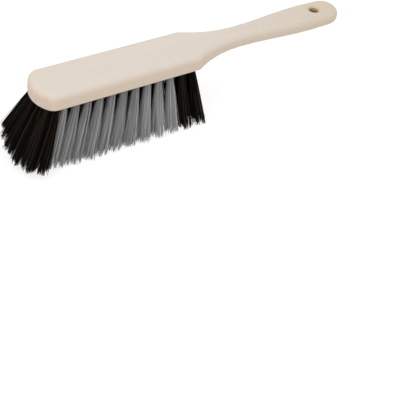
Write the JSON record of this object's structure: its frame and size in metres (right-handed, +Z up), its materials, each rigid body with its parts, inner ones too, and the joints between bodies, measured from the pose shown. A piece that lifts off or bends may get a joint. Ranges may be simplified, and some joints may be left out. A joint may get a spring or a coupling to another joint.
{
  "type": "hand brush",
  "caption": "Wooden hand brush for sweeping: a flat beech board with a waisted handle and hanging hole, grey bristle tufts and black ones that fan out at the toe and stand at the heel.",
  "frame": {"origin": "on the floor under the middle of the brush's outer box, where the bristle tips stand", "axes": "+X runs along the brush from the bristle toe to the end of the handle, +Y across it, +Z up from the bristle tips to the top of the wood"},
  "size_m": [0.3096, 0.0672, 0.0642],
  "materials": {
    "beech": "sanded, unvarnished",
    "grey_bristle": "matt",
    "black_bristle": "matt",
    "anchor_wire": "plain"
  },
  "bodies": {
    "root": {"grey_tufts_01": "grey_bristle", "grey_tufts_02": "grey_bristle", "grey_tufts_03": "grey_bristle", "grey_tufts_04": "grey_bristle", "grey_tufts_05": "grey_bristle", "grey_tufts_06": "grey_bristle", "grey_tufts_07": "grey_bristle", "grey_tufts_08": "grey_bristle", "grey_tufts_09": "grey_bristle", "grey_tufts_10": "grey_bristle", "grey_tufts_11": "grey_bristle", "grey_tufts_12": "grey_bristle", "grey_tufts_13": "grey_bristle", "grey_tufts_14": "grey_bristle", "grey_tufts_15": "grey_bristle", "grey_tufts_16": "grey_bristle", "grey_tufts_17": "grey_bristle", "grey_tufts_18": "grey_bristle", "grey_tufts_19": "grey_bristle", "heel_tufts_1": "black_bristle", "heel_tufts_2": "black_bristle", "heel_tufts_3": "black_bristle", "heel_tufts_4": "black_bristle", "toe_corner_tufts": "black_bristle", "toe_front_tufts": "black_bristle", "toe_inner_tufts": "black_bristle", "tuft_anchors": "anchor_wire", "wooden_body": "beech"}
  },
  "joints": []
}
